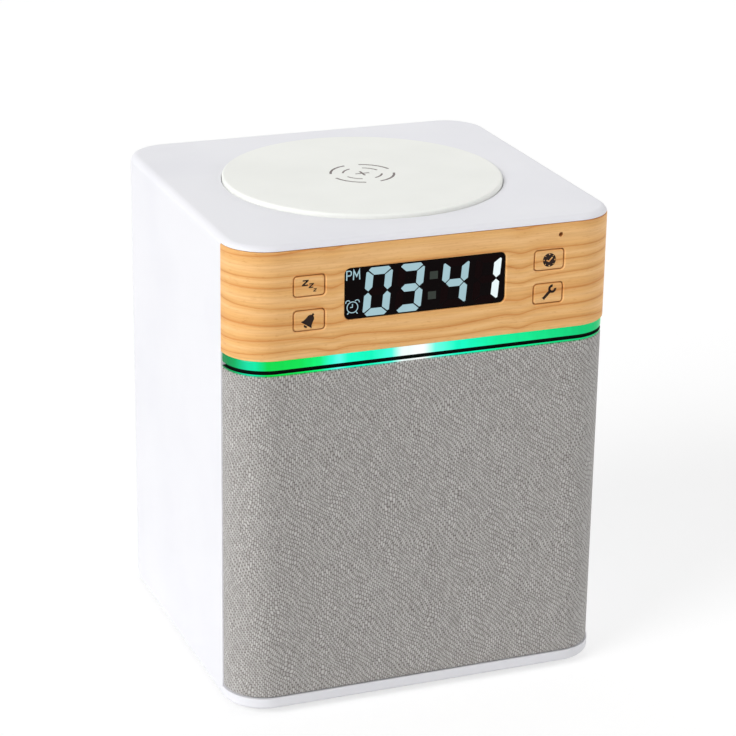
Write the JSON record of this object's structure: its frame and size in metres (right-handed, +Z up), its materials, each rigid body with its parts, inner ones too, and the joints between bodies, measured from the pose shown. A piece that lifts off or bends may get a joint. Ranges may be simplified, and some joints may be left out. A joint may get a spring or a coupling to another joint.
{
  "type": "clock radio",
  "caption": "Upright rounded bedside clock radio with a cloth grille, a lit band, a wood-finish fascia with digit window and keys, and a round charging pad on top.",
  "frame": {"origin": "middle of the footprint, on the surface that the four feet stand on", "axes": "+Z up, +X to the viewer's right, -Y out of the front with the grille and the display"},
  "size_m": [0.091, 0.087, 0.1125],
  "materials": {
    "white_shell": "satin moulded ABS, white",
    "wood_finish": "light wood with a clear matt coat",
    "light_guide": "clear light guide, lit green to cyan from inside",
    "grille_fabric": "woven polyester loudspeaker cloth, light grey",
    "black_plastic": "moulded black plastic",
    "window_pane": "dark tinted acrylic, polished",
    "digit_filter": "diffusing filter in front of the lit segments",
    "circuit_board": "green solder mask on glass fibre",
    "pad_rubber": "white silicone, matt",
    "copper_winding": "enamelled copper wire, wound",
    "ferrite": "sintered ferrite",
    "driver_steel": "zinc-plated pressed steel",
    "cone_paper": "coated paper cone",
    "surround_rubber": "butyl rubber",
    "spider_cloth": "impregnated corrugated cloth",
    "nickel_shell": "nickel-plated steel",
    "ribbon_jacket": "white ribbon cable",
    "lead_jacket": "black insulated lead",
    "foot_rubber": "moulded rubber",
    "screw_steel": "zinc-plated screw"
  },
  "bodies": {
    "cabinet": {"casing": "white_shell", "base_plate": "white_shell", "port_plate": "white_shell", "front_fascia": "wood_finish", "light_band": "light_guide", "grille_cloth": "grille_fabric", "grille_frame": "black_plastic", "bulkhead": "black_plastic", "light_board": "circuit_board", "display_window": "window_pane", "digit_block": "digit_filter", "display_board": "circuit_board", "charging_pad": "pad_rubber", "charging_coil": "copper_winding", "coil_ferrite": "ferrite", "coil_tray": "black_plastic", "driver_basket": "driver_steel", "driver_top_plate": "driver_steel", "driver_magnet": "ferrite", "driver_yoke": "driver_steel", "surround": "surround_rubber", "spider": "spider_cloth", "usb_socket": "nickel_shell", "power_socket": "black_plastic", "main_board": "circuit_board", "display_ribbon": "ribbon_jacket", "speaker_lead": "lead_jacket", "coil_lead": "lead_jacket", "aerial_wire": "lead_jacket", "foot_front_left": "foot_rubber", "foot_rear_left": "foot_rubber", "foot_front_right": "foot_rubber", "foot_rear_right": "foot_rubber", "base_screw_1": "screw_steel", "base_screw_2": "screw_steel", "base_screw_3": "screw_steel", "base_screw_4": "screw_steel", "driver_screw_lower_left": "screw_steel", "driver_screw_upper_left": "screw_steel", "driver_screw_lower_right": "screw_steel", "driver_screw_upper_right": "screw_steel", "port_screw_1": "screw_steel", "port_screw_2": "screw_steel", "snooze_switch": "black_plastic", "alarm_switch": "black_plastic", "clock_set_switch": "black_plastic", "settings_switch": "black_plastic", "mode_switch": "black_plastic", "volume_down_switch": "black_plastic", "volume_up_switch": "black_plastic"},
    "snooze_key": {"snooze_key": "wood_finish"},
    "alarm_key": {"alarm_key": "wood_finish"},
    "clock_set_key": {"clock_set_key": "wood_finish"},
    "settings_key": {"settings_key": "wood_finish"},
    "mode_key": {"mode_key": "white_shell"},
    "volume_down_key": {"volume_down_key": "white_shell"},
    "volume_up_key": {"volume_up_key": "white_shell"},
    "cone": {"speaker_cone": "cone_paper", "dust_cap": "cone_paper", "voice_coil": "copper_winding"}
  },
  "joints": [
    {"name": "snooze_press", "type": "slide", "parent": "cabinet", "child": "snooze_key", "axis": [0, 1, 0], "range_m": [0, 0.0005], "stiffness_N_per_m": 400},
    {"name": "alarm_press", "type": "slide", "parent": "cabinet", "child": "alarm_key", "axis": [0, 1, 0], "range_m": [0, 0.0005], "stiffness_N_per_m": 400},
    {"name": "clock_set_press", "type": "slide", "parent": "cabinet", "child": "clock_set_key", "axis": [0, 1, 0], "range_m": [0, 0.0005], "stiffness_N_per_m": 400},
    {"name": "settings_press", "type": "slide", "parent": "cabinet", "child": "settings_key", "axis": [0, 1, 0], "range_m": [0, 0.0005], "stiffness_N_per_m": 400},
    {"name": "mode_press", "type": "slide", "parent": "cabinet", "child": "mode_key", "axis": [0, -1, 0], "range_m": [0, 0.0005], "stiffness_N_per_m": 400},
    {"name": "volume_down_press", "type": "slide", "parent": "cabinet", "child": "volume_down_key", "axis": [0, -1, 0], "range_m": [0, 0.0005], "stiffness_N_per_m": 400},
    {"name": "volume_up_press", "type": "slide", "parent": "cabinet", "child": "volume_up_key", "axis": [0, -1, 0], "range_m": [0, 0.0005], "stiffness_N_per_m": 400},
    {"name": "cone_travel", "type": "slide", "parent": "cabinet", "child": "cone", "axis": [0, 1, 0], "range_m": [-0.0012, 0.0012], "stiffness_N_per_m": 1200, "deforming": ["surround", "spider"]}
  ]
}
